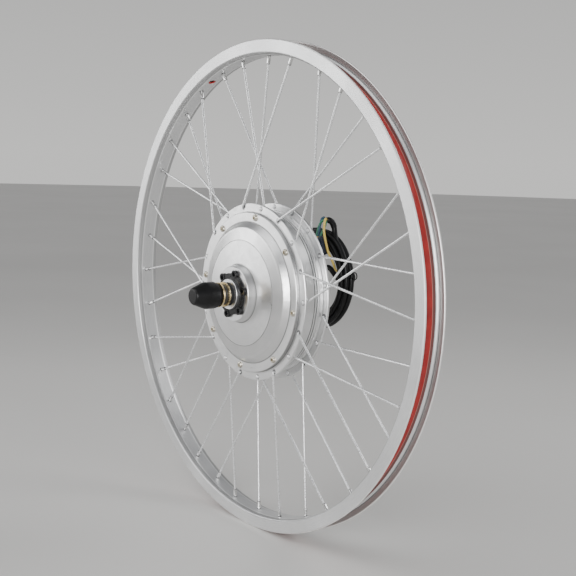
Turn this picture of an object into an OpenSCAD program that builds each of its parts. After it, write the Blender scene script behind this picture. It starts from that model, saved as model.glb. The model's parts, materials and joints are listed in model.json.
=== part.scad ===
// Hub motor wheel: a front bicycle wheel laced around a gearless brushless hub motor.
// Millimetres. The origin is the wheel's centre, the axle lies along Y, the brake disc
// side is -Y and the cable side is +Y. Z is up.
// Angles around the axle start at +X and turn towards +Z.

/* [Rim] */
// Radius over the tyre hooks of the rim
rim_r = 260; // [200:0.5:320]
// Radius of the seat that the tyre bead rests on
bead_seat_r = 253.5; // [195:0.5:312]
// Width of the rim across its two side faces
rim_w = 27; // [22:0.5:36]
// Width between the inside of the two side walls
rim_inner_w = 23; // [18:0.5:32]
// Radius of the spoke bed, the rim's innermost surface
bed_r = 244.5; // [185:0.5:305]
// Diameter of the valve hole
valve_d = 8.5; // [6.5:0.1:9]
// Angle of the valve hole around the wheel
valve_angle = 115; // [0:5:355]

/* [Spokes] */
// Number of spokes
spoke_count = 36; // [20:4:36]
// Diameter of a spoke
spoke_d = 2.34; // [2:0.02:2.6]
// Radius of the circle of spoke holes in the hub flanges
spoke_circle_r = 90.4; // [80:0.2:96]
// Angle between a spoke's hub hole and its rim hole
spoke_lean = 20; // [10:10:40]
// Diameter of a nipple's shank
nipple_d = 3.9; // [3.6:0.1:4.5]
// Length of a nipple seen below the rim
nipple_len = 8.6; // [6:0.1:12]

/* [Hub shell] */
// Radius of the two spoke flanges
flange_r = 94.25; // [85:0.25:110]
// Distance between the outer faces of the two flanges
flange_span = 32.2; // [28:0.2:50]
// Thickness of a flange
flange_t = 3.2; // [2.5:0.1:5]
// Radius of the drum between the flanges
drum_r = 86; // [78:0.5:100]
// Radius of the bore that holds the magnet ring
shell_bore_r = 76; // [70:0.5:80]

/* [Covers] */
// Radius of a side cover
cover_r = 85; // [80:0.5:90]
// Thickness of a side cover's screwed rim
cover_rim_t = 4; // [3:0.1:6]
// Number of cover screws on each side
cover_screw_count = 8; // [6:1:12]
// Radius of the circle of cover screws
cover_screw_circle_r = 80.6; // [78:0.1:83]
// Distance from the wheel's centre plane to the front of the cover's boss
boss_front_y = 39.6; // [37:0.1:46]

/* [Brake disc mount] */
// Diameter of the brake disc's bolt circle
disc_pcd = 44; // [44:1:48]
// Diameter of the brake disc's bolt holes
disc_hole_d = 5; // [4:0.1:6]
// Thickness of the black mounting ring
disc_mount_t = 3.2; // [2:0.1:5]

/* [Axle] */
// Diameter of the axle's threaded ends
axle_d = 12; // [10:1:14]
// Width across the flats milled on the axle's ends
axle_flats = 10; // [8:0.5:12]
// Distance from the wheel's centre to the axle's end on the disc side
axle_disc_end = 85; // [75:1:100]
// Distance from the wheel's centre to the axle's end on the cable side
axle_cable_end = 76; // [72:1:100]
// Distance between the axle's shoulders; the fork ends rest on the inner washers, two washers wider apart
fork_width = 100; // [95:1:110]
// Diameter of the hole that carries the cable through the axle's end
axle_bore_d = 6.6; // [6:0.1:8]

/* [Motor] */
// Radius of the stator
stator_r = 68.9; // [60:0.1:70]
// Height of the stator's stack of laminations
stack_h = 23; // [18:1:28]
// Number of stator teeth
tooth_count = 36; // [24:3:48]
// Number of magnets
magnet_count = 40; // [20:2:46]

/* [Cable] */
// Diameter of the motor cable
cable_d = 6; // [5:0.5:9]
// Diameter of one phase wire
wire_d = 2.6; // [1.6:0.1:3]
// Radius of the coiled cable, to the middle of the bundle
coil_r = 48; // [35:1:60]
// Thickness of the coiled bundle
coil_d = 18; // [12:1:24]

/* [Hidden] */

silver = [0.80, 0.81, 0.80];
steel = [0.70, 0.71, 0.72];
dark_steel = [0.20, 0.20, 0.21];
zinc_gold = [0.80, 0.68, 0.38];
rubber = [0.06, 0.06, 0.06];
red = [0.75, 0.10, 0.08];
copper = [0.72, 0.40, 0.20];
magnet_grey = [0.45, 0.46, 0.48];
board_green = [0.10, 0.35, 0.18];
plug_navy = [0.05, 0.08, 0.16];

round_fn = 96;
small_fn = 32;
cut = 0.5;                 // how far a cutter runs past the face it cuts
gap = 0.3;                 // clear space between separate bodies
running = 0.05;            // radial clearance of a running fit

// Rim section
half_w = rim_w / 2;
half_inner = rim_inner_w / 2;
hook = 0.5;                // how far the tyre hook stands in from the side wall
well_r = 250.6;            // floor of the rim's middle channel
well_half = 4.5;
slope_top_r = 252.4;       // top of the slopes beside the channel
slope_top_half = 8.2;
face_inner_r = 246.8;      // where the flat side face ends
hook_r = 258;              // radius where the tyre hook starts
bed_half = 6.5;            // half width of the spoke bed's flat part
chamber_half = 10.9;       // half width of the hollow inside the rim
bed_t = 1.7;               // thickness of the spoke bed
floor_t = 1.4;             // thickness of the channel's floor
nipple_head_r = 3;
nipple_head_t = 0.9;
nipple_cone_t = 1.2;       // slope under the nipple's head
nipple_inside = 3.6;       // how far the nipple's shank reaches into the rim
bed_offset = 1.45;         // how far the spoke holes stand off the middle plane
access_r = 4.4;            // holes in the channel that the nipples go in through
tape_t = 0.5;
tape_half = 7.2;
tape_lift = 0.02;          // keeps the tape off the rim's floor

// Hub
flange_out = flange_span / 2;
flange_in = flange_out - flange_t;
edge = 0.6;                // small chamfer on turned edges
groove = 0.8;              // depth of the grooves turned in the drum
groove_w = 1.6;
groove_slope = 0.4;
groove_starts = [2, 5];    // where along the drum each groove starts
band_y = 8.4;              // raised band beside the cable side flange
band_w = 3.4;
band_h = 1;
flange_foot = 1.2;         // slope at the foot of the disc side flange
spoke_hole_r = 1.45;
spoke_r = spoke_d / 2;
spoke_off = spoke_r + 0.35; // spoke's centre line to the flange face it lies on
head_r = 2.2;
head_t = 1.3;
hub_step = 360 / (spoke_count / 2);
group_step = 2 * hub_step;

// Covers
rim_face_y = flange_out + cover_rim_t;
dome_foot_r = 74.5;
dome_top_r = 69;
dome_top_y = 26.4;
shoulder_round = 4;        // radius of the dome's rounded shoulder
shoulder_start = 40;       // angle where the shoulder leaves the dome's side
line_r = 56;               // fine line turned in the dome
line_y = 29.2;
boss_foot_r = 30.6;
boss_foot_y = 30.6;
boss_r = 28.9;
collar_r = 16;
collar_y = 45.2;
seal_seat_r = 12.1;
seal_in_y = 41;
seal_out_y = 43.8;
seal_lip_y = 44.4;
spigot_y = 13.2;           // end of the cover's spigot inside the shell
cover_back_y = 25.2;       // back of the cover's web
cover_back_r = 55;
cover_screw_start = 81.9;  // angle of the first cover screw
screw_r = 2;
screw_head_r = 3.6;
screw_head_h = 2.2;
screw_len = 9;
socket_across = 2.5;
disc_bolt_start = 73.5;    // angle of the first brake disc bolt
disc_bolt_depth = 9;
disc_web_r = 21.8;
disc_web_step = 0.6;        // how far the web lies behind the lobes' faces
disc_lobe_lift = 0.3;       // how far the lobes stand clear of the boss
disc_lobe_r = 4.4;

// Axle
axle_r = axle_d / 2;
cable_way_y = 17;          // where the cable's way through the axle starts
fork_half = fork_width / 2;
shoulder_r = 7.5;
core_r = 11;
core_half = 26;
bearing_w = 11;
bearing_r = 17.5;
outer_ring_in_r = 14.6;    // bore of a bearing's outer ring
inner_ring_out_r = 10.4;   // outside of a bearing's inner ring
cage_w = 8;
cage_half_t = 0.8;
bearing_y = core_half + bearing_w / 2;
ball_r = 2.975;
ball_circle_r = 12.5;
groove_r = 3.05;
ball_count = 8;
sleeve_r = 10;
washer_r = 13;
washer_t = 1.8;
spacer_r = 11.2;
spacer_len = 5.4;
nut_across = 19;
nut_h = 10;
nut_start = fork_half + washer_t + spacer_len + washer_t;
cap_base = nut_start + gap;
cap_tip = 89.5;
cap_r = 14;
thread_clear_r = axle_r + 0.1;

// Motor
yoke_r = 56;
slot_bottom_r = 58;
slot_top_r = 67;
tooth_w = 5;
slot_mouth = 2;
coil_side = 2.3;
coil_end = 3.4;
carrier_bore_r = core_r;
carrier_ring_r = 46;
magnet_t = 2.7;
magnet_w = 10.2;
magnet_len = 23;
ring_inner_r = 72.5;
magnet_in_r = 69.6;
magnet_ring_w = 25;
carrier_t = stack_h - 4;
carrier_hole_r = 10.5;     // windows in the stator's carrier
carrier_hole_at = 29;
board_t = 1.6;
board_turn = 60;           // angle that the sensor board covers
lead_r = 0.85;
lead_step = 1.9;           // distance between the three leads inside
lead_run = slot_top_r - core_r - 8;

// Cable and wires. Each route runs through the points below.
gland_len = 4.5;
gland_foot_r = 5;
gland_top_r = 3.8;
coil_at = [0, 76, 11];
lead_route = [
    [0, axle_cable_end + gland_len + gap, 0], [0, 85, 0], [-4, 88.5, 2.5], [-7.5, 90, 9],
    [-6, 90, 17], [0, 88.5, 22.5], [8, 87, 22], [16, 86.5, 16.5], [24, 87.5, 10.5],
    [32, 88.5, 7.5], [39.5, 88.7, 9.5], [44.5, 88.7, 16]
];
tail_route = [
    [32.5, 76, 48.5], [27.5, 77, 56], [24, 78, 63], [22.5, 78, 69], [21.5, 76, 74],
    [20, 72.5, 76.5], [18.6, 69.5, 76.6]
];
yellow_route = [
    [19.6, 69.6, 76.6], [22.5, 66, 78.3], [24.6, 63.5, 77.5], [25.2, 61.8, 73],
    [25.8, 61.2, 66], [28, 61.2, 57.5], [33.5, 61.5, 44], [38, 62.8, 36.5],
    [38, 66.5, 29.5], [34.5, 71.5, 25], [32, 76.5, 22], [31, 81, 21]
];
green_route = [
    [18, 69.2, 76.4], [15.2, 67.6, 75.8], [12, 66.6, 72], [9.8, 66, 66.5],
    [8.8, 65.3, 60], [8.4, 64.8, 53], [9, 64.5, 46]
];
blue_route = [
    [18.2, 69.6, 77.2], [14, 70, 79], [12, 68.5, 76.5], [11.8, 67, 70],
    [12, 65.5, 63.5], [12.4, 64.6, 57.5]
];
signal_route = [
    [19.4, 69.3, 76], [22.5, 66.5, 75.5], [23.2, 64.6, 71], [21.8, 63.2, 66],
    [20.3, 61.8, 61.5], [19.9, 61.5, 59.8]
];
terminal_len = 11;
terminal_r = 2.3;
plug_size = [10, 8, 20];
plug_at = [23.7, 61.5, 50];
plug_lean = 22;
tie_at = 8;                // angle of the cable tie around the coil
tie_loop_r = 4;
tie_t = 1.1;
tie_w = 3;

function on_wheel(r, a, y) = [r * cos(a), y, r * sin(a)];
function unit(v) = v / norm(v);
function mirrored(p) = concat(p, [for (i = [len(p) - 1:-1:0]) [p[i].x, -p[i].y]]);
function hub_end(side, outside, a) =
    on_wheel(spoke_circle_r, a,
             side * (outside ? flange_out + spoke_off : flange_in - spoke_off));
function rim_end(side, a) = on_wheel(bed_r, a, side * bed_offset);

// Smooth line through the points of a route
function curve_point(a, b, c, d, t) =
    0.5 * (2 * b + (c - a) * t + (2 * a - 5 * b + 4 * c - d) * t * t
           + (3 * b - a - 3 * c + d) * t * t * t);
function curve(p, steps) = [
    for (i = [0:len(p) - 2], s = [0:steps - 1])
        curve_point(p[max(i - 1, 0)], p[i], p[i + 1], p[min(i + 2, len(p) - 1)], s / steps),
    p[len(p) - 1]
];
function heading(p, i) = unit(p[min(i + 1, len(p) - 1)] - p[max(i - 1, 0)]);
function side_axis(p, i, up) = unit(cross(heading(p, i), up));

// Turned part about the axle, from a section given as [radius, y]
module turned(section) {
    rotate([-90, 0, 0])
        rotate_extrude($fn = round_fn)
            polygon(section);
}

// Moves along the axle, with the part's own Z along +Y
module on_axle(y) {
    translate([0, y, 0])
        rotate([-90, 0, 0])
            children();
}

// Turns a part drawn at angle 0 to another angle around the axle
module at_angle(a) {
    rotate([0, -a, 0])
        children();
}

// Stands a part on point p with its Z along the line from p to q
module along(p, q) {
    v = q - p;
    translate(p)
        rotate([0, acos(v.z / norm(v)), atan2(v.y, v.x)])
            children();
}

// Puts a disc side part on the cable side as well
module both_sides() {
    children();
    mirror([0, 1, 0])
        children();
}

// Flexible cord through a route, with flat ends
module cord(route, d, sides, steps, up) {
    path = curve(route, steps);
    n = len(path);
    points = [
        for (i = [0:n - 1])
            let (u = side_axis(path, i, up), v = cross(heading(path, i), u))
            for (j = [0:sides - 1])
                path[i] + d / 2 * (cos(j * 360 / sides) * u + sin(j * 360 / sides) * v)
    ];
    walls = [
        for (i = [0:n - 2], j = [0:sides - 1], half = [0, 1])
            let (a = i * sides + j, b = i * sides + (j + 1) % sides)
            half == 0 ? [a, b, b + sides] : [a, b + sides, a + sides]
    ];
    first = [for (j = [sides - 1:-1:0]) j];
    last = [for (j = [0:sides - 1]) (n - 1) * sides + j];
    polyhedron(points, concat(walls, [first, last]));
}

// ---- rim ----

module rim_section() {
    outer = [
        [well_r, 0], [well_r, well_half], [slope_top_r, slope_top_half],
        [bead_seat_r, slope_top_half + 1.2], [bead_seat_r, half_inner],
        [hook_r - 0.8, half_inner], [hook_r, half_inner - hook],
        [hook_r + 1.2, half_inner - hook], [rim_r - 0.2, half_inner],
        [rim_r, half_w - 1.3], [rim_r - 0.3, half_w - edge], [rim_r - 2 * edge, half_w],
        [face_inner_r + 0.4, half_w], [face_inner_r, half_w - 0.4],
        [face_inner_r - 0.3, half_w - 0.8], [face_inner_r - 1, half_w - 1.2],
        [bed_r + 0.5, bed_half + 3.5], [bed_r, bed_half], [bed_r, 0]
    ];
    chamber = [
        [bed_r + bed_t, 0], [bed_r + bed_t, bed_half - 0.3],
        [face_inner_r + 0.4, chamber_half - 0.5], [slope_top_r - 1, chamber_half],
        [slope_top_r - 1.5, slope_top_half + 0.6], [well_r - floor_t, well_half + 0.5],
        [well_r - floor_t, 0]
    ];
    difference() {
        polygon(mirrored(outer));
        polygon(mirrored(chamber));
    }
}

module nipple_holes(side) {
    for (k = [0:spoke_count / 2 - 1]) {
        a = k * hub_step + (side < 0 ? 0 : hub_step / 2);
        along(rim_end(side, a), hub_end(side, is_outer(side, k), a - lean_at(k)))
            translate([0, 0, -3])
                cylinder(h = 6, d = nipple_d + 0.6, $fn = small_fn);
        at_angle(a)
            translate([well_r - 2 * floor_t, side * bed_offset, 0])
                rotate([0, 90, 0])
                    cylinder(h = 2 * floor_t + cut, r = access_r, $fn = small_fn);
    }
}

// The spokes of one side lean alternately each way around the rim
function lean_at(k) = k % 2 == 0 ? -spoke_lean : spoke_lean;
function is_outer(side, k) = (k % 2 == 0) == (side < 0);

module valve_hole(d) {
    at_angle(valve_angle)
        translate([bed_r - 2, 0, 0])
            rotate([0, 90, 0])
                cylinder(h = 12, d = d, $fn = small_fn);
}

module rim() {
    color(silver)
        difference() {
            rotate([-90, 0, 0])
                rotate_extrude($fn = round_fn)
                    rim_section();
            nipple_holes(-1);
            nipple_holes(1);
            valve_hole(valve_d);
        }
}

// Radius of the rim's channel at distance y from the middle plane
function slope_r(y) =
    well_r + (slope_top_r - well_r) * (y - well_half) / (slope_top_half - well_half);

module rim_tape() {
    low = well_r + tape_lift;
    high = slope_r(tape_half) + tape_lift;
    section = [
        [low, 0], [low, well_half], [high, tape_half], [high + tape_t, tape_half - 0.2],
        [low + tape_t, well_half - 0.2], [low + tape_t, 0]
    ];
    color(red)
        difference() {
            turned(mirrored(section));
            valve_hole(valve_d);
        }
}

// ---- spokes ----

module spoke(side, outside, a, lean) {
    bend = hub_end(side, outside, a);
    tip = rim_end(side, a + lean);
    far_face = side * (outside ? flange_in : flange_out);
    out = outside ? -side : side;      // way the spoke's head faces along Y
    along(bend, tip)
        cylinder(h = norm(tip - bend) - 1, r = spoke_r, $fn = small_fn);
    translate(bend)
        sphere(r = spoke_r * 1.05, $fn = small_fn);
    along(bend, on_wheel(spoke_circle_r, a, far_face + out * head_t / 2))
        cylinder(h = abs(far_face + out * head_t / 2 - bend.y), r = spoke_r, $fn = small_fn);
    along(on_wheel(spoke_circle_r, a, far_face),
          on_wheel(spoke_circle_r, a, far_face + out))
        cylinder(h = head_t, r1 = head_r, r2 = head_r * 0.75, $fn = small_fn);
}

module spoke_group(side, outside, first, lean) {
    color(steel)
        for (k = [0:spoke_count / 4 - 1])
            spoke(side, outside, first + k * group_step, lean);
}

module nipple(side, outside, a, lean) {
    along(rim_end(side, a + lean), hub_end(side, outside, a))
        difference() {
            union() {
                translate([0, 0, -nipple_inside])
                    cylinder(h = nipple_len + nipple_inside, d = nipple_d, $fn = small_fn);
                translate([0, 0, 0.2 - nipple_inside])
                    cylinder(h = nipple_cone_t, r1 = nipple_head_r, r2 = nipple_d / 2,
                             $fn = small_fn);
                translate([0, 0, 0.3 - nipple_head_t - nipple_inside])
                    cylinder(h = nipple_head_t, r = nipple_head_r, $fn = small_fn);
            }
            translate([0, 0, 0.6])
                cylinder(h = nipple_len, r = spoke_r + 0.02, $fn = small_fn);
        }
}

module nipple_group(side, outside, first, lean) {
    for (k = [0:spoke_count / 4 - 1])
        nipple(side, outside, first + k * group_step, lean);
}

module spokes_disc_side_outer() spoke_group(-1, true, hub_step, -spoke_lean);
module spokes_disc_side_inner() spoke_group(-1, false, 0, spoke_lean);
module spokes_cable_side_outer() spoke_group(1, true, hub_step / 2, spoke_lean);
module spokes_cable_side_inner() spoke_group(1, false, hub_step * 1.5, -spoke_lean);

module spoke_nipples() {
    color(steel) {
        nipple_group(-1, true, hub_step, -spoke_lean);
        nipple_group(-1, false, 0, spoke_lean);
        nipple_group(1, true, hub_step / 2, spoke_lean);
        nipple_group(1, false, hub_step * 1.5, -spoke_lean);
    }
}

// ---- hub shell and covers ----

// Groove or band in the drum's section, with sloped ends
function turned_step(y, w, h) = [
    [drum_r, y], [drum_r + h, y + groove_slope],
    [drum_r + h, y + w - groove_slope], [drum_r, y + w]
];

module hub_shell() {
    section = [
        [shell_bore_r, -flange_out], [flange_r - edge, -flange_out],
        [flange_r, edge - flange_out], [flange_r, -flange_in - edge],
        [flange_r - edge, -flange_in], [drum_r + flange_foot, -flange_in],
        [drum_r, flange_foot - flange_in],
        for (y = groove_starts) each turned_step(y, groove_w, -groove),
        each turned_step(band_y, band_w, band_h),
        [drum_r, flange_in], [flange_r - edge, flange_in], [flange_r, flange_in + edge],
        [flange_r, flange_out - edge], [flange_r - edge, flange_out],
        [shell_bore_r, flange_out]
    ];
    color(silver)
        difference() {
            turned(section);
            for (k = [0:spoke_count - 1])
                at_angle(k * hub_step / 2)
                    translate([spoke_circle_r, k % 2 == 0 ? -flange_out : flange_out, 0])
                        rotate([90, 0, 0])
                            cylinder(h = 3 * flange_t, r = spoke_hole_r, center = true,
                                     $fn = small_fn);
            both_sides()
                cover_screw_holes(screw_len + cut);
        }
}

module cover_screw_holes(depth) {
    for (k = [0:cover_screw_count - 1])
        at_angle(cover_screw_start + k * 360 / cover_screw_count)
            translate([cover_screw_circle_r, -rim_face_y - cut, 0])
                rotate([-90, 0, 0])
                    cylinder(h = depth + cut, r = screw_r + 0.05, $fn = small_fn);
}

// Section of the cable side cover, as [radius, y]
module cover_body() {
    turned([
        [cover_r - edge, flange_out], [cover_r, flange_out + edge],
        [cover_r, rim_face_y - edge], [cover_r - edge, rim_face_y],
        [dome_foot_r + 0.6, rim_face_y], [dome_foot_r, rim_face_y + 0.3],
        for (t = [shoulder_start:10:90])
            [dome_top_r - 1.5 + shoulder_round * cos(t),
             dome_top_y - shoulder_round * (1 - sin(t))],
        [line_r + 0.3, line_y], [line_r + 0.2, line_y - 0.4],
        [line_r - 0.2, line_y - 0.4], [line_r - 0.3, line_y + 0.1],
        [boss_foot_r + 1.5, boss_foot_y], [boss_foot_r, boss_foot_y + 0.6],
        [boss_r, boss_front_y - edge], [boss_r - edge, boss_front_y],
        [collar_r, boss_front_y], [collar_r, collar_y - 0.4], [collar_r - 0.4, collar_y],
        [seal_seat_r + 0.4, collar_y], [seal_seat_r, collar_y - 0.4],
        [seal_seat_r, core_half + bearing_w], [bearing_r, core_half + bearing_w],
        [bearing_r, core_half - 1], [bearing_r + 5.5, core_half - 1],
        [bearing_r + 8.5, core_half + 0.6], [cover_back_r, cover_back_y],
        [dome_top_r - 4, cover_back_y - 2.2], [dome_top_r + 0.5, spigot_y + 3.8],
        [dome_top_r + 1.5, spigot_y], [shell_bore_r - 0.1, spigot_y],
        [shell_bore_r - 0.1, flange_out]
    ]);
}

module cover_cable_side() {
    color(silver)
        difference() {
            cover_body();
            mirror([0, 1, 0])
                cover_screw_holes(cover_rim_t + cut);
        }
}

module cover_disc_side() {
    color(silver)
        difference() {
            mirror([0, 1, 0])
                cover_body();
            cover_screw_holes(cover_rim_t + cut);
            disc_bolt_holes(boss_front_y - disc_bolt_depth);
        }
}

module cover_screws_disc_side() {
    color(zinc_gold)
        for (k = [0:cover_screw_count - 1])
            at_angle(cover_screw_start + k * 360 / cover_screw_count)
                translate([cover_screw_circle_r, -rim_face_y, 0])
                    rotate([90, 0, 0])
                        button_screw();
}

module cover_screws_cable_side() {
    mirror([0, 1, 0])
        cover_screws_disc_side();
}

// Button head screw with its head on +Z and its thread below
module button_screw() {
    dome_r = (screw_head_r * screw_head_r + screw_head_h * screw_head_h)
             / (2 * screw_head_h);
    difference() {
        union() {
            intersection() {
                translate([0, 0, screw_head_h - dome_r])
                    sphere(r = dome_r, $fn = small_fn);
                cylinder(h = screw_head_h, r = screw_head_r - 0.05, $fn = small_fn);
            }
            translate([0, 0, -screw_len])
                cylinder(h = screw_len + cut, r = screw_r, $fn = small_fn);
        }
        translate([0, 0, screw_head_h - 1.3])
            cylinder(h = 2, d = socket_across / cos(30), $fn = 6);
    }
}

module disc_bolt_holes(start) {
    for (k = [0:5])
        at_angle(disc_bolt_start - k * 60)
            translate([disc_pcd / 2, -start, 0])
                rotate([90, 0, 0])
                    cylinder(h = 20, d = disc_hole_d, $fn = small_fn);
}

module disc_mount() {
    color(rubber)
        difference() {
            union() {
                on_axle(-boss_front_y - disc_mount_t + disc_web_step)
                    cylinder(h = disc_mount_t - disc_web_step, r = disc_web_r,
                             $fn = round_fn);
                for (k = [0:5])
                    at_angle(disc_bolt_start - k * 60)
                        translate([disc_pcd / 2, -boss_front_y - disc_lobe_lift, 0])
                            rotate([90, 0, 0])
                                cylinder(h = disc_mount_t - disc_lobe_lift,
                                         r = disc_lobe_r, $fn = small_fn);
            }
            on_axle(-boss_front_y - 2 * disc_mount_t)
                cylinder(h = 3 * disc_mount_t, r = collar_r, $fn = round_fn);
            disc_bolt_holes(boss_front_y - cut);
        }
}

module shaft_seals() {
    color(rubber)
        both_sides()
            turned([
                [sleeve_r + running, -seal_lip_y], [sleeve_r + 0.7, -seal_out_y],
                [seal_seat_r, -seal_out_y], [seal_seat_r, -seal_in_y],
                [sleeve_r + running, -seal_in_y]
            ]);
}

// ---- bearings ----

module bearing_outer_rings() {
    color(steel)
        both_sides()
            on_axle(-bearing_y)
                rotate_extrude($fn = round_fn)
                    difference() {
                        translate([outer_ring_in_r, -bearing_w / 2])
                            square([bearing_r - outer_ring_in_r, bearing_w]);
                        translate([ball_circle_r, 0])
                            circle(r = groove_r, $fn = small_fn);
                    }
}

module bearing_inner_rings() {
    color(steel)
        both_sides()
            on_axle(-bearing_y)
                rotate_extrude($fn = round_fn)
                    difference() {
                        translate([shoulder_r, -bearing_w / 2])
                            square([inner_ring_out_r - shoulder_r, bearing_w]);
                        translate([ball_circle_r, 0])
                            circle(r = groove_r, $fn = small_fn);
                    }
}

module balls(r) {
    for (k = [0:ball_count - 1])
        at_angle(k * 360 / ball_count)
            translate([ball_circle_r, 0, 0])
                sphere(r = r, $fn = small_fn);
}

module cage() {
    difference() {
        on_axle(-cage_w / 2)
            difference() {
                cylinder(h = cage_w, r = ball_circle_r + cage_half_t, $fn = round_fn);
                translate([0, 0, -cut])
                    cylinder(h = cage_w + 2 * cut, r = ball_circle_r - cage_half_t,
                             $fn = round_fn);
            }
        // one round pocket for each ball
        for (k = [0:ball_count - 1])
            at_angle(k * 360 / ball_count)
                rotate([0, 90, 0])
                    cylinder(h = 2 * ball_circle_r, r = ball_r + running, $fn = small_fn);
    }
}

module bearing_balls_disc_side() color(steel) translate([0, -bearing_y, 0]) balls(ball_r);
module bearing_balls_cable_side() color(steel) translate([0, bearing_y, 0]) balls(ball_r);
module bearing_cage_disc_side() color(zinc_gold) translate([0, -bearing_y, 0]) cage();
module bearing_cage_cable_side() color(zinc_gold) translate([0, bearing_y, 0]) cage();

// ---- axle set ----

module axle() {
    color(dark_steel)
        difference() {
            turned([
                [0, -axle_disc_end], [axle_r - 1, -axle_disc_end],
                [axle_r, 1 - axle_disc_end],
                [axle_r, -fork_half], [shoulder_r, -fork_half], [shoulder_r, -core_half],
                [core_r, -core_half], [core_r, core_half], [shoulder_r, core_half],
                [shoulder_r, fork_half], [axle_r, fork_half],
                [axle_r, axle_cable_end - 1], [axle_r - 1, axle_cable_end],
                [0, axle_cable_end]
            ]);
            // flats on both ends
            for (end = [-axle_disc_end, axle_cable_end], face = [-1, 1])
                translate([face * (axle_flats + axle_d) / 2,
                           (sign(end) * fork_half + end) / 2, 0])
                    cube([axle_d, abs(end) - fork_half, 2 * axle_d], center = true);
            // cable way from the end to the motor's inside
            on_axle(cable_way_y)
                cylinder(h = axle_cable_end, d = axle_bore_d, $fn = small_fn);
            translate([0, cable_way_y + axle_bore_d / 2, 0])
                cylinder(h = 2 * core_r, d = axle_bore_d, $fn = small_fn);
        }
}

module axle_sleeves() {
    color(rubber)
        both_sides()
            on_axle(-fork_half)
                difference() {
                    cylinder(h = fork_half - core_half - bearing_w, r = sleeve_r,
                             $fn = round_fn);
                    translate([0, 0, -cut])
                        cylinder(h = fork_half, r = shoulder_r, $fn = round_fn);
                }
}

// Flat ring with its outer face towards the axle's end
module axle_ring(start, length, r) {
    both_sides()
        on_axle(-start - length)
            difference() {
                cylinder(h = length, r = r, $fn = round_fn);
                translate([0, 0, -cut])
                    cylinder(h = length + 2 * cut, r = thread_clear_r, $fn = round_fn);
            }
}

module inner_washers() color(zinc_gold) axle_ring(fork_half, washer_t, washer_r);
module fork_spacers() color(rubber) axle_ring(fork_half + washer_t, spacer_len, spacer_r);
module outer_washers() {
    color(zinc_gold)
        axle_ring(fork_half + washer_t + spacer_len, washer_t, washer_r);
}

module axle_nuts() {
    color(steel)
        both_sides()
            on_axle(-nut_start - nut_h)
                difference() {
                    cylinder(h = nut_h, d = nut_across / cos(30), $fn = 6);
                    translate([0, 0, -cut])
                        cylinder(h = nut_h + 2 * cut, r = thread_clear_r, $fn = round_fn);
                }
}

module axle_cap() {
    nut_room_r = nut_across / 2 / cos(30) + gap;
    color(rubber)
        turned([
            [nut_room_r, -cap_base], [cap_r - 2, -cap_base], [cap_r, -cap_base - 4.5],
            [cap_r, -74.5], [9, -88], [8, -89.2], [7, -cap_tip], [0, -cap_tip],
            [0, -axle_disc_end - gap], [axle_r + gap, -axle_disc_end - gap],
            [axle_r + gap, -nut_start - nut_h - gap],
            [nut_room_r, -nut_start - nut_h - gap]
        ]);
}

// ---- stator and rotor ----

module stator_carrier() {
    color(silver)
        on_axle(-carrier_t / 2)
            difference() {
                cylinder(h = carrier_t, r = carrier_ring_r, $fn = round_fn);
                translate([0, 0, -cut])
                    cylinder(h = stack_h, r = carrier_bore_r, $fn = round_fn);
                for (k = [0:5])
                    rotate([0, 0, k * 60 + 30])
                        translate([carrier_hole_at, 0, -cut])
                            cylinder(h = stack_h, r = carrier_hole_r, $fn = round_fn);
            }
}

module stator_core() {
    color(steel)
        on_axle(-stack_h / 2)
            difference() {
                cylinder(h = stack_h, r = stator_r, $fn = round_fn);
                translate([0, 0, -cut])
                    cylinder(h = stack_h + 2 * cut, r = carrier_ring_r, $fn = round_fn);
                for (k = [0:tooth_count - 1])
                    rotate([0, 0, (k + 0.5) * 360 / tooth_count])
                        translate([0, 0, -cut])
                            linear_extrude(stack_h + 2 * cut)
                                stator_slot();
            }
}

module stator_slot() {
    half_pitch = 180 / tooth_count;
    low = slot_bottom_r * sin(half_pitch) - tooth_w / 2;
    high = slot_top_r * sin(half_pitch) - tooth_w / 2;
    polygon([
        [slot_bottom_r, -low], [slot_top_r, -high], [slot_top_r + 0.7, -slot_mouth / 2],
        [stator_r + 1, -slot_mouth / 2], [stator_r + 1, slot_mouth / 2],
        [slot_top_r + 0.7, slot_mouth / 2], [slot_top_r, high], [slot_bottom_r, low]
    ]);
}

module stator_windings() {
    height = slot_top_r - slot_bottom_r - 0.8;
    middle = (slot_top_r + slot_bottom_r) / 2;
    wide = tooth_w + 2 * coil_side;
    color(copper)
        for (k = [0:tooth_count - 1])
            at_angle(k * 360 / tooth_count)
                translate([middle, 0, 0])
                    difference() {
                        cube([height, stack_h + 2 * coil_end, wide], center = true);
                        cube([height + 2 * cut, stack_h + 0.2, tooth_w + 0.2],
                             center = true);
                    }
}

module hall_board() {
    color(board_green)
        on_axle(stack_h / 2)
            rotate([0, 0, -90 - board_turn])
                rotate_extrude(angle = board_turn, $fn = round_fn)
                    translate([carrier_ring_r + 1, 0])
                        square([yoke_r - carrier_ring_r - 1, board_t]);
}

// Three insulated leads from the axle's side hole out to the windings
module phase_leads() {
    lead_y = cable_way_y + axle_bore_d / 2;
    for (x = [-1, 0, 1])
        color([copper, plug_navy, board_green][x + 1])
            translate([x * lead_step, lead_y, core_r + gap])
                cylinder(h = lead_run, r = lead_r, $fn = small_fn);
}

module magnet_ring() {
    color(dark_steel)
        on_axle(-magnet_ring_w / 2)
            difference() {
                cylinder(h = magnet_ring_w, r = shell_bore_r, $fn = round_fn);
                translate([0, 0, -cut])
                    cylinder(h = magnet_ring_w + 2 * cut, r = ring_inner_r, $fn = round_fn);
            }
}

module magnets() {
    color(magnet_grey)
        for (k = [0:magnet_count - 1])
            at_angle(k * 360 / magnet_count)
                translate([magnet_in_r + magnet_t / 2, 0, 0])
                    cube([magnet_t, magnet_len, magnet_w], center = true);
}

// ---- cable ----

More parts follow.
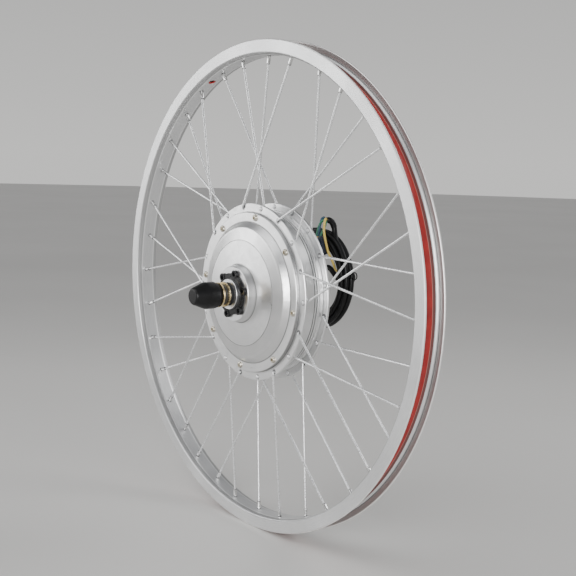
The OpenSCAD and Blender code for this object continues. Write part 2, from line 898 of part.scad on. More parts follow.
module cable_gland() {
    color(rubber)
        on_axle(axle_cable_end)
            cylinder(h = gland_len, r1 = gland_foot_r, r2 = gland_top_r, $fn = small_fn);
}

module cable_lead() color(rubber) cord(lead_route, cable_d, 12, 3, [0, 0.3, 1]);

module cable_coil() {
    color(rubber)
        translate(coil_at)
            rotate([-90, 0, 0])
                rotate_extrude($fn = round_fn)
                    translate([coil_r, 0])
                        circle(d = coil_d, $fn = small_fn);
}

module cable_tail() color(rubber) cord(tail_route, cable_d, 12, 3, [0, 1, 0]);
module wire_yellow() color([0.85, 0.70, 0.20]) cord(yellow_route, wire_d, 8, 3, [0, 0.2, 1]);
module wire_green() color([0.10, 0.40, 0.20]) cord(green_route, wire_d, 8, 3, [0, 1, 0.1]);
module wire_blue() color([0.10, 0.20, 0.60]) cord(blue_route, wire_d, 8, 3, [0, 1, 0.1]);
module signal_lead() color(rubber) cord(signal_route, wire_d, 8, 3, [1, 0, 0]);

// Body of the signal plug, in front of the coil with its lead at the top
module signal_plug() {
    color(plug_navy)
        translate(plug_at)
            rotate([0, -plug_lean, 0])
                cube(plug_size, center = true);
}

// A bullet terminal at the end of each phase wire
module bullet_terminals() {
    for (route = [yellow_route, green_route, blue_route]) {
        last = route[len(route) - 1];
        color(zinc_gold)
            along(last, last + (last - route[len(route) - 2]))
                cylinder(h = terminal_len, r = terminal_r, $fn = small_fn);
    }
}

module cable_tie() {
    color(rubber)
        translate(coil_at)
            at_angle(tie_at)
                translate([coil_r, 0, 0]) {
                    rotate_extrude($fn = small_fn)
                        translate([coil_d / 2 + 0.1, -tie_w / 2])
                            square([tie_t, tie_w]);
                    translate([coil_d / 2 + tie_t + tie_loop_r, 0, 0])
                        rotate([90, 0, 0])
                            rotate_extrude($fn = small_fn)
                                translate([tie_loop_r, 0])
                                    circle(r = 0.7, $fn = 16);
                }
}

axle();
bearing_inner_rings();
axle_sleeves();
inner_washers();
fork_spacers();
outer_washers();
axle_nuts();
axle_cap();
stator_carrier();
stator_core();
stator_windings();
hall_board();
phase_leads();
cable_gland();
cable_lead();
cable_coil();
cable_tail();
wire_yellow();
wire_green();
wire_blue();
signal_lead();
signal_plug();
bullet_terminals();
cable_tie();
bearing_balls_disc_side();
bearing_cage_disc_side();
bearing_balls_cable_side();
bearing_cage_cable_side();
bearing_outer_rings();
shaft_seals();
hub_shell();
magnet_ring();
magnets();
cover_disc_side();
cover_cable_side();
cover_screws_disc_side();
cover_screws_cable_side();
disc_mount();
rim();
rim_tape();
spokes_disc_side_outer();
spokes_disc_side_inner();
spokes_cable_side_outer();
spokes_cable_side_inner();
spoke_nipples();
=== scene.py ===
"""Looks of the hub motor wheel: camera, cable, finer pieces, materials, floor and light.

Every length is in metres, in the CAD model's own frame: the origin is the wheel's centre, the axle
lies along Y, the brake disc side is -Y and the cable side is +Y. Angles around the axle start at +X
and turn towards +Z.
"""

import json
import math
import random

import bpy
from mathutils import Matrix, Vector


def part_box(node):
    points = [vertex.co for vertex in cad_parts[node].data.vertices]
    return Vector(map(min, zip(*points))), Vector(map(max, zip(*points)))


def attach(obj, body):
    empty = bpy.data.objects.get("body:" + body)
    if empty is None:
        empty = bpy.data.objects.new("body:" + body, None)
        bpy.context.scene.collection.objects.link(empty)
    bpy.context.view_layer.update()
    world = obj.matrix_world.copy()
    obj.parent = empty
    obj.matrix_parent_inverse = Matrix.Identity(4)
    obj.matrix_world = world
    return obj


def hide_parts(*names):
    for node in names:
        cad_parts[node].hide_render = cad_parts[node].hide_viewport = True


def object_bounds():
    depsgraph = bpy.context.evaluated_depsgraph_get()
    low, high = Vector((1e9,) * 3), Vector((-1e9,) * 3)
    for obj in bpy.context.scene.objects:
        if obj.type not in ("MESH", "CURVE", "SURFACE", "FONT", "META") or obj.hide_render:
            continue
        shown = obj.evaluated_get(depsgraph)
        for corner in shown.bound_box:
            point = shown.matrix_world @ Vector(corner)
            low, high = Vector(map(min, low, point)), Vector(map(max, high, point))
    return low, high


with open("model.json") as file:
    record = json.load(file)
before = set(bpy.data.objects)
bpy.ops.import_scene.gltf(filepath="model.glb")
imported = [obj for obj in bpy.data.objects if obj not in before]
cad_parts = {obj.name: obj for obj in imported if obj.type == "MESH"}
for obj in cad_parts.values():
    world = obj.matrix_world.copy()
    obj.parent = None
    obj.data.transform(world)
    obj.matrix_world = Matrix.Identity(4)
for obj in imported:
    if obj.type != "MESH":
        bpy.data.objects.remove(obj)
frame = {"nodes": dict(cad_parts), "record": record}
cad_low, cad_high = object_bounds()

MM = 0.001
TURN = 2 * math.pi

# ---------------------------------------------------------------- sizes from the CAD model
AXLE_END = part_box("axle")[1].y
CABLE_D = 6.0 * MM
WIRE_D = 2.6 * MM
COIL_AT = Vector((0, 76, 11)) * MM
COIL_R = 48 * MM
COIL_D = 18 * MM
TIE_ANGLE = math.radians(8)
FLANGE_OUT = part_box("hub_shell")[1].y
FLANGE_T = 3.2 * MM
FLANGE_IN = FLANGE_OUT - FLANGE_T
SPOKES = 36
SPOKE_R = 1.17 * MM
SPOKE_CIRCLE_R = 90.4 * MM
SPOKE_LEAN = math.radians(20)
BED_R = 244.5 * MM
BED_OFFSET = 1.45 * MM
VALVE_ANGLE = math.radians(115)
WALL_FOOT_R = 253.6 * MM        # where the rim's walls stand on its bed
LIP_R = 259.5 * MM              # the tops of the walls lie outside this radius, with a painted highlight
WALL_INSIDE = 11.6 * MM         # the walls' inner faces, from the middle plane
SPOKE_BED_WITHIN = 246.5 * MM   # the spoke bed and its slopes lie within this radius
BEVEL_START = 7.9 * MM          # where the inner face turns into its slopes
COVER_EDGE_T = 4 * MM
COVER_FACE_Y = FLANGE_OUT + COVER_EDGE_T
SCREW_CIRCLE_R = 80.6 * MM
FIRST_SCREW = math.radians(81.9)
SCREWS = 8
CAP_TIP_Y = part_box("axle_cap")[0].y


# ---------------------------------------------------------------- camera
def place_camera():
    """A long lens in front of the disc side, with the wheel a little off its optical axis."""
    azimuth, elevation, distance = math.radians(53.69), math.radians(7.17), 1.1527
    turn = [math.radians(a) for a in (-1.354, -4.424, 1.267)]
    back = Vector((math.sin(azimuth) * math.cos(elevation),
                   -math.cos(azimuth) * math.cos(elevation), math.sin(elevation)))
    right = Vector((math.cos(azimuth), math.sin(azimuth), 0))
    aim = Matrix((right, back.cross(right), back)).transposed()
    lean = (Matrix.Rotation(turn[2], 3, "Z") @ Matrix.Rotation(turn[1], 3, "X")
            @ Matrix.Rotation(turn[0], 3, "Y"))
    data = bpy.data.cameras.new("camera")
    data.sensor_width = 36
    data.lens = 66.77
    data.shift_y = 0.15
    camera = bpy.data.objects.new("camera", data)
    camera.matrix_world = Matrix.Translation(back * distance) @ (aim @ lean).to_4x4()
    bpy.context.scene.collection.objects.link(camera)
    bpy.context.scene.camera = camera


# ---------------------------------------------------------------- routes and paths
def route(*points):
    """Points given in millimetres, as metres."""
    return [Vector(p) * MM for p in points]


LEAD = route((0, 80.8, 0), (0, 85, 0), (-4, 88.5, 2.5), (-7.5, 90, 9), (-6, 90, 17), (0, 88.5, 22.5),
             (8, 87, 22), (16, 86.5, 16.5), (24, 87.5, 10.5), (32, 88.5, 7.5), (39.5, 88.7, 9.5),
             (44.5, 88.7, 16))
TAIL = route((32.5, 76, 48.5), (27.5, 77, 56), (24, 78, 63), (22.5, 78, 69), (21.5, 76, 74),
             (20, 72.5, 76.5), (18.6, 69.5, 76.6))
YELLOW = route((19.6, 69.6, 76.6), (22.5, 66, 78.3), (24.6, 63.5, 77.5), (25.2, 61.8, 73),
               (25.8, 61.2, 66), (28, 61.2, 57.5), (33.5, 61.5, 44), (38, 62.8, 36.5),
               (38, 66.5, 29.5), (34.5, 71.5, 25), (32, 76.5, 22), (31, 81, 21))
GREEN = route((18, 69.2, 76.4), (15.2, 67.6, 75.8), (12, 66.6, 72), (9.8, 66, 66.5),
              (8.8, 65.3, 60), (8.4, 64.8, 53), (9, 64.5, 46))
BLUE = route((18.2, 69.6, 77.2), (14, 70, 79), (12, 68.5, 76.5), (11.8, 67, 70),
             (12, 65.5, 63.5), (12.4, 64.6, 57.5))
SIGNAL = route((19.4, 69.3, 76), (22.5, 66.5, 75.5), (23.2, 64.6, 71), (21.8, 63.2, 66),
               (20.3, 61.8, 61.5), (19.9, 61.5, 59.8))


def smooth_path(points, steps=3):
    """A smooth line through the points, with some steps to each of them."""
    path = []
    for i in range(len(points) - 1):
        a, b = points[max(i - 1, 0)], points[i]
        c, d = points[i + 1], points[min(i + 2, len(points) - 1)]
        for s in range(steps):
            t = s / steps
            path.append(0.5 * (2 * b + (c - a) * t + (2 * a - 5 * b + 4 * c - d) * t * t
                               + (3 * b - a - 3 * c + d) * t ** 3))
    return path + [points[-1]]


def path_length(path):
    """The sum of a path's steps."""
    return sum((b - a).length for a, b in zip(path, path[1:]))


def first_part(path, length):
    """The start of a path, cut off at a length."""
    part = [path[0]]
    for point in path[1:]:
        if path_length(part) >= length:
            break
        part.append(point)
    return part


# ---------------------------------------------------------------- coiled cable
COIL_START = 25       # degrees around the coil where the lead has sunk into its first slot
COIL_TURNS = 7.067    # six turns around a seventh, which leaves towards the tail
SLOT_STEP = 60        # degrees that a turn moves around the bundle, to its neighbour's slot
POINTS_PER_TURN = 30


def ease(t):
    """A smooth step from 0 to 1."""
    t = min(max(t, 0), 1)
    return t * t * (3 - 2 * t)


def coil_points():
    """Strand centres through the coil: each turn lies beside the last, and the seventh is the core."""
    steps = round(COIL_TURNS * POINTS_PER_TURN)
    slip = random.Random(4)
    waves = [(slip.uniform(0.2, 0.5) * MM, slip.uniform(0, TURN)) for _ in range(8)]
    points = []
    for i in range(steps):
        turns = i / POINTS_PER_TURN
        angle = math.radians(COIL_START) + turns * TURN
        slot = math.radians(90 + SLOT_STEP * turns)
        reach = CABLE_D * (1 - ease((turns - 5.5) / 0.45))
        depth, phase = waves[int(turns)]
        loose = depth * math.sin(2 * angle + phase) * ease(turns) * ease(COIL_TURNS - turns)
        radius = COIL_R + reach * math.cos(slot) + loose
        points.append(COIL_AT + Vector((radius * math.cos(angle), reach * math.sin(slot),
                                        radius * math.sin(angle))))
    return points


# ---------------------------------------------------------------- mesh code
def loft(rings, wrap=False):
    """(vertices, faces) of a skin over rings of points, capped at both ends or joined to itself."""
    count = len(rings[0])
    vertices = [point for ring in rings for point in ring]
    faces = []
    for i in range(len(rings) - (0 if wrap else 1)):
        for k in range(count):
            a, b = i * count + k, i * count + (k + 1) % count
            c, d = [(v + count) % len(vertices) for v in (b, a)]
            faces.append((a, b, c, d))
    if not wrap:
        faces.append(tuple(reversed(range(count))))
        faces.append(tuple(range(len(vertices) - count, len(vertices))))
    return vertices, faces


def side_axes(forward, hint=None):
    """Two unit vectors across a direction."""
    if hint is None or abs(forward.dot(hint)) > 0.95:
        hint = Vector((0, 0, 1)) if abs(forward.z) < 0.9 else Vector((1, 0, 0))
    across = (hint - forward * hint.dot(forward)).normalized()
    return across, forward.cross(across)


def tube(path, radius, sides=12):
    """A round tube along a path. radius is a number, or a function of the distance along it."""
    rings, across, along = [], None, 0.0
    for i, point in enumerate(path):
        forward = (path[min(i + 1, len(path) - 1)] - path[max(i - 1, 0)]).normalized()
        across, up = side_axes(forward, across)
        if i:
            along += (point - path[i - 1]).length
        r = radius(along) if callable(radius) else radius
        rings.append([point + r * (across * math.cos(k * TURN / sides) + up * math.sin(k * TURN / sides))
                      for k in range(sides)])
    return loft(rings)


def rounded(profile, fillet, steps=4):
    """A profile of (radius, height) with its inner corners rounded."""
    points = [Vector(p) for p in profile]
    result = [points[0]]
    for before, corner, after in zip(points, points[1:], points[2:]):
        reach = min(fillet, (corner - before).length * 0.45, (after - corner).length * 0.45)
        start = corner + (before - corner).normalized() * reach
        end = corner + (after - corner).normalized() * reach
        for s in range(steps + 1):
            t = s / steps
            result.append((1 - t) ** 2 * start + 2 * t * (1 - t) * corner + t * t * end)
    return result + [points[-1]]


def lathe(profile, base, direction, sides=32, shape=None):
    """A turned form: profile of (radius, height) along a direction. shape trims a radius by angle."""
    direction = direction.normalized()
    across, up = side_axes(direction)
    rings = []
    for radius, height in profile:
        ring = []
        for k in range(sides):
            angle = k * TURN / sides
            r = shape(radius, height, angle) if shape else radius
            ring.append(base + direction * height + r * (across * math.cos(angle) + up * math.sin(angle)))
        rings.append(ring)
    return loft(rings)


def add_piece(name, parts, body, slot, replaced=(), sharp=35):
    """One smooth mesh of several (vertices, faces) parts, in its slot's material, on its body."""
    vertices, faces = [], []
    for part_vertices, part_faces in parts:
        first = len(vertices)
        vertices += part_vertices
        faces += [tuple(v + first for v in face) for face in part_faces]
    mesh = bpy.data.meshes.new(name)
    mesh.from_pydata(vertices, [], faces)
    mesh.validate()
    mesh.polygons.foreach_set("use_smooth", [True] * len(mesh.polygons))
    mesh.set_sharp_from_angle(angle=math.radians(sharp))
    mesh.materials.append(FINISHES[slot])
    piece = bpy.data.objects.new(name, mesh)
    bpy.context.scene.collection.objects.link(piece)
    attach(piece, body)
    if replaced:
        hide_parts(*replaced)
    return piece


# ---------------------------------------------------------------- materials
class Finish:
    """A material in the making. Constants go on the shader's own sockets."""

    def __init__(self, name, **constants):
        self.material = bpy.data.materials.new(name)
        self.material.use_nodes = True
        self.tree = self.material.node_tree
        self.shader = self.tree.nodes["Principled BSDF"]
        for socket, value in constants.items():
            self.shader.inputs[socket.replace("_", " ")].default_value = value

    def node(self, kind, inputs=(), **settings):
        """A new node. Each input is a value, or a socket to link from."""
        made = self.tree.nodes.new(kind)
        for key, value in settings.items():
            setattr(made, key, value)
        for socket, value in dict(inputs).items():
            if isinstance(value, bpy.types.NodeSocket):
                self.tree.links.new(value, made.inputs[socket])
            else:
                made.inputs[socket].default_value = value
        return made

    def place(self, stretch=(1, 1, 1)):
        """The point on the object, stretched."""
        at = self.node("ShaderNodeTexCoord").outputs["Object"]
        return self.node("ShaderNodeVectorMath", {0: at, 1: stretch}, operation="MULTIPLY").outputs[0]

    def turned(self, stretch=(1, 1, 0)):
        """Distance from the axle, distance along it, and the angle around it: marks left by a lathe."""
        at = self.node("ShaderNodeTexCoord").outputs["Object"]
        part = self.node("ShaderNodeSeparateXYZ", {0: at})
        flat = self.node("ShaderNodeVectorMath", {0: at, 1: (1, 0, 1)}, operation="MULTIPLY")
        radius = self.node("ShaderNodeVectorMath", {0: flat.outputs[0]}, operation="LENGTH")
        angle = self.node("ShaderNodeMath", {0: part.outputs["Z"], 1: part.outputs["X"]}, operation="ARCTAN2")
        both = self.node("ShaderNodeCombineXYZ", {0: radius.outputs["Value"], 1: part.outputs["Y"],
                                                  2: angle.outputs[0]})
        return self.node("ShaderNodeVectorMath", {0: both.outputs[0], 1: stretch},
                         operation="MULTIPLY").outputs[0]

    def noise(self, at, scale, detail=3.0, roughness=0.5):
        """A soft cloudy texture, about 0 to 1."""
        return self.node("ShaderNodeTexNoise", {"Vector": at, "Scale": scale, "Detail": detail,
                                                "Roughness": roughness}).outputs["Fac"]

    def pores(self, at, scale):
        """Distance to the nearest of some scattered points."""
        return self.node("ShaderNodeTexVoronoi", {"Vector": at, "Scale": scale}).outputs["Distance"]

    def section(self):
        """Distance from the axle, and distance from the wheel's middle plane."""
        part = self.node("ShaderNodeSeparateXYZ", {0: self.turned()})
        off = self.node("ShaderNodeMath", {0: part.outputs["Y"]}, operation="ABSOLUTE")
        return part.outputs["X"], off.outputs[0]

    def spoke_holes(self):
        """1 at the edge of each spoke hole of the flanges, falling to 0 past the spoke's head."""
        part = self.node("ShaderNodeSeparateXYZ", {0: self.turned((1, 1, 1))})
        side = self.node("ShaderNodeMath", {0: part.outputs["Y"], 1: 0.0}, operation="GREATER_THAN")
        place = self.plus(self.times(part.outputs["Z"], SPOKES / 2 / TURN), self.times(side.outputs[0], 0.5))
        away = self.node("ShaderNodeMath", {0: place, 1: 0.5}, operation="PINGPONG")
        around = self.times(away.outputs[0], 2 * TURN / SPOKES * SPOKE_CIRCLE_R)
        across = self.node("ShaderNodeMath", {0: part.outputs["X"], 1: SPOKE_CIRCLE_R}, operation="SUBTRACT")
        both = self.node("ShaderNodeCombineXYZ", {0: around, 1: across.outputs[0]})
        distance = self.node("ShaderNodeVectorMath", {0: both.outputs[0]}, operation="LENGTH")
        return self.span(distance.outputs["Value"], 1.0, 0.0, 2.2 * MM, 3.3 * MM)

    def near(self, value, middle, width):
        """1 where the value is at the middle, falling to 0 at that width from it."""
        off = self.node("ShaderNodeMath", {0: value, 1: middle}, operation="SUBTRACT")
        away = self.node("ShaderNodeMath", {0: off.outputs[0]}, operation="ABSOLUTE")
        return self.span(away.outputs[0], 1.0, 0.0, 0.0, width)

    def span(self, value, low, high, start=0.3, end=0.7):
        """A texture's value moved from its own range start..end to low..high."""
        return self.node("ShaderNodeMapRange", {0: value, 1: start, 2: end, 3: low, 4: high}).outputs[0]

    def times(self, a, b):
        return self.node("ShaderNodeMath", {0: a, 1: b}, operation="MULTIPLY").outputs[0]

    def plus(self, a, b):
        return self.node("ShaderNodeMath", {0: a, 1: b}, operation="ADD").outputs[0]

    def blend(self, amount, low, high):
        """A colour from low to high by an amount. Each is a colour or a socket."""
        mix = self.node("ShaderNodeMix", data_type="RGBA")
        for socket, value in ((mix.inputs[0], amount), (mix.inputs[6], low), (mix.inputs[7], high)):
            if isinstance(value, bpy.types.NodeSocket):
                self.tree.links.new(value, socket)
            else:
                socket.default_value = value if isinstance(value, float) else (*value, 1)
        return mix.outputs[2]

    def wear(self, colour, rough, height, strength=0.2, distance=0.0001):
        """Links the colour, the roughness and the bump's height to the shader, and gives the material."""
        self.tree.links.new(colour, self.shader.inputs["Base Color"])
        self.tree.links.new(rough, self.shader.inputs["Roughness"])
        bump = self.node("ShaderNodeBump", {"Height": height, "Strength": strength, "Distance": distance})
        self.tree.links.new(bump.outputs[0], self.shader.inputs["Normal"])
        return self.material


def turned_metal(name, light, dark, rough=(0.25, 0.4), rings=2500, depth=0.12, shaded_seams=(), shaded_holes=False):
    """Metal off a lathe: fine rings, cloudy tone, smudges, and painted shade at the seams and round the spoke
    holes.

    Each shaded seam is (radius, width, strength), in millimetres.
    """
    f = Finish(name, Metallic=1.0)
    lathe_marks = f.noise(f.turned(), rings, 2)
    cloud = f.noise(f.place(), 38, 4)
    smudge = f.noise(f.place(), 160, 6, 0.65)
    tone = f.plus(f.times(lathe_marks, 0.45), f.times(cloud, 0.55))
    colour = f.blend(f.span(tone, 0.0, 1.0, 0.35, 0.65), dark, light)
    for radius, width, strength in shaded_seams:
        # painted shade: a dark ring at each seam radius, where shade falls in the steps and grooves
        seam_shade = f.times(f.near(f.section()[0], radius * MM, width * MM), strength)
        colour = f.blend(seam_shade, colour, (0.10, 0.10, 0.10))
    if shaded_holes:
        # painted shade: dark rings round the spoke holes of the flanges
        colour = f.blend(f.times(f.spoke_holes(), 0.8), colour, (0.10, 0.10, 0.10))
    gloss = f.plus(f.span(smudge, *rough), f.span(lathe_marks, -0.03, 0.03))
    return f.wear(colour, gloss, lathe_marks, depth)


def cast_metal(name, light, dark, rough=(0.4, 0.6), grain=900, depth=0.25):
    """Cast or blasted metal: a fine grain all over, darker in its hollows."""
    f = Finish(name, Metallic=1.0)
    grit = f.noise(f.place(), grain, 5, 0.6)
    cloud = f.noise(f.place(), 60, 3)
    colour = f.blend(f.span(f.plus(f.times(grit, 0.5), f.times(cloud, 0.5)), 0.0, 1.0), dark, light)
    return f.wear(colour, f.span(grit, *rough), grit, depth)


def anodised(name):
    """Silver anodised rim, brushed along its round.

    Painted shade greys the insides of its walls and the slopes of the spoke bed and darkens the walls'
    corners; a highlight is painted along a ridge of the bed and on the tops of the walls.
    """
    f = Finish(name, Metallic=0.75)
    brushed = f.noise(f.turned((1, 1, 0.02)), 1400, 3)
    cloud = f.noise(f.place(), 14, 3)
    specks = f.pores(f.place(), 420)
    tone = f.plus(f.times(brushed, 0.5), f.times(cloud, 0.5))
    colour = f.blend(f.span(tone, 0.0, 1.0, 0.35, 0.65), (0.66, 0.665, 0.67), (0.80, 0.805, 0.81))
    radius, off = f.section()
    # painted shade on the inner faces of the walls
    wall_shade = f.times(f.span(radius, 0.0, 0.8, WALL_FOOT_R + 0.2 * MM, WALL_FOOT_R + 0.7 * MM),
                   f.span(off, 1.0, 0.0, WALL_INSIDE, WALL_INSIDE + 0.2 * MM))
    colour = f.blend(wall_shade, colour, (0.40, 0.37, 0.36))
    # painted shade in the corners where the walls stand on the bed
    corner = f.times(f.near(radius, WALL_FOOT_R, 0.9 * MM), f.near(off, WALL_INSIDE - 0.3 * MM, 0.8 * MM))
    colour = f.blend(corner, colour, (0.06, 0.06, 0.06))
    inner = f.span(radius, 1.0, 0.0, SPOKE_BED_WITHIN - 0.2 * MM, SPOKE_BED_WITHIN + 0.2 * MM)
    # painted shade on the slopes of the spoke bed
    slope_shade = f.times(inner, f.span(off, 0.0, 0.6, BEVEL_START, BEVEL_START + 0.7 * MM))
    colour = f.blend(slope_shade, colour, (0.30, 0.30, 0.30))
    # painted highlight along a ridge of the bed
    ridge_highlight = f.times(inner, f.near(off, BEVEL_START - 0.5 * MM, 1.0 * MM))
    colour = f.blend(ridge_highlight, colour, (0.97, 0.97, 0.97))
    # painted highlight on the tops of the walls
    lip_highlight = f.span(radius, 0.0, 0.9, LIP_R - 0.6 * MM, LIP_R)
    colour = f.blend(lip_highlight, colour, (1.0, 0.99, 0.98))
    gloss = f.plus(f.span(cloud, 0.32, 0.46), f.span(specks, 0.06, 0.0, 0.0, 0.12))
    return f.wear(colour, gloss, brushed, 0.08)


def plated(name, light, dark, tint, rough=(0.18, 0.36)):
    """Zinc plating: a bright coat with a drifting tint, water marks and scuffs on its corners."""
    f = Finish(name, Metallic=1.0)
    drift = f.noise(f.place(), 110, 4)
    marks = f.noise(f.place(), 700, 5, 0.7)
    base = f.blend(f.span(drift, 0.0, 1.0), dark, light)
    colour = f.blend(f.span(marks, 0.0, 0.35, 0.45, 0.75), base, tint)
    return f.wear(colour, f.span(marks, *rough), marks, 0.1)


def moulded(name, light, dark, rough=(0.35, 0.55), grain=1300, depth=0.2, **constants):
    """Moulded plastic or rubber: a fine orange-peel skin, rubbed shiny in places."""
    f = Finish(name, **constants)
    skin = f.noise(f.place(), grain, 3)
    rubbed = f.noise(f.place(), 90, 4, 0.6)
    colour = f.blend(f.span(rubbed, 0.0, 1.0), dark, light)
    return f.wear(colour, f.span(rubbed, rough[1], rough[0]), skin, depth)


def lacquered_wire(name):
    """Copper winding: wires side by side under lacquer."""
    f = Finish(name, Metallic=0.85, Coat_Weight=0.5, Coat_Roughness=0.2)
    wire = f.node("ShaderNodeTexWave", {"Vector": f.place(), "Scale": 380.0, "Distortion": 1.5},
                  bands_direction="Y").outputs["Fac"]
    tone = f.noise(f.place(), 140, 4)
    colour = f.blend(f.plus(f.times(wire, 0.6), f.times(tone, 0.4)), (0.28, 0.08, 0.03), (0.72, 0.31, 0.13))
    return f.wear(colour, f.span(tone, 0.22, 0.42), wire, 0.7, 0.0003)


def laminated(name):
    """A stack of steel sheets, seen as fine lines across the axle."""
    f = Finish(name, Metallic=0.9)
    sheets = f.node("ShaderNodeTexWave", {"Vector": f.place(), "Scale": 320.0, "Distortion": 0.2},
                    bands_direction="Y").outputs["Fac"]
    rust = f.noise(f.place(), 150, 5, 0.65)
    lines = f.blend(sheets, (0.13, 0.13, 0.14), (0.42, 0.42, 0.43))
    colour = f.blend(f.span(rust, 0.0, 0.5, 0.55, 0.75), lines, (0.22, 0.12, 0.07))
    return f.wear(colour, f.span(rust, 0.35, 0.6), sheets, 0.5)


def circuit_board(name):
    """Green solder mask over tracks."""
    f = Finish(name, Coat_Weight=0.4, Coat_Roughness=0.15)
    tracks = f.pores(f.place(), 260)
    tone = f.noise(f.place(), 60, 3)
    mask = f.blend(f.span(tone, 0.0, 1.0), (0.01, 0.09, 0.03), (0.02, 0.17, 0.06))
    colour = f.blend(f.span(tracks, 1.0, 0.0, 0.06, 0.14), mask, (0.05, 0.28, 0.10))
    return f.wear(colour, f.span(tone, 0.3, 0.45), tracks, 0.3)


def rim_strip(name):
    """Red rim tape: glossy vinyl, with painted shade on the slopes of the channel where it turns up, and a
    pale line along the turn.
    """
    f = Finish(name, Coat_Weight=0.25, Coat_Roughness=0.3)
    stretch = f.noise(f.turned((1, 1, 0.05)), 420, 3)
    rubs = f.noise(f.place(), 55, 5, 0.6)
    colour = f.blend(f.span(rubs, 0.0, 1.0, 0.35, 0.7), (0.34, 0.010, 0.010), (0.52, 0.025, 0.02))
    off = f.section()[1]
    # painted shade on the slopes where the tape turns up
    colour = f.blend(f.span(off, 0.0, 0.95, 4.1 * MM, 4.8 * MM), colour, (0.12, 0.042, 0.038))
    # a pale line along the turn of the tape
    colour = f.blend(f.times(f.near(off, 4.5 * MM, 0.3 * MM), 0.6), colour, (0.70, 0.42, 0.36))
    return f.wear(colour, f.span(rubs, 0.3, 0.5), stretch, 0.25)


def nipple_plating(name):
    """Bright nickel, with painted shade where the nipple sits in the rim and where the spoke enters it."""
    f = Finish(name, Metallic=1.0)
    marks = f.noise(f.place(), 900, 5, 0.7)
    colour = f.blend(f.span(marks, 0.0, 1.0), (0.62, 0.62, 0.62), (0.90, 0.90, 0.89))
    radius = f.section()[0]
    # painted shade: dark rings where the nipple meets the rim and where the spoke enters it
    for middle, width in ((BED_R, 1.3 * MM), (BED_R - 8.4 * MM, 0.8 * MM)):
        colour = f.blend(f.near(radius, middle, width), colour, (0.03, 0.03, 0.03))
    return f.wear(colour, f.span(marks, 0.1, 0.22), marks, 0.08)


def spun_steel(name):
    """Drawn stainless wire: long fine lines and a cool bright skin."""
    f = Finish(name, Metallic=0.8)
    drawn = f.noise(f.place(), 650, 4, 0.6)
    cloud = f.noise(f.place(), 45, 2)
    colour = f.blend(f.span(cloud, 0.0, 1.0), (0.78, 0.79, 0.80), (0.95, 0.955, 0.96))
    return f.wear(colour, f.span(drawn, 0.2, 0.38), drawn, 0.12)


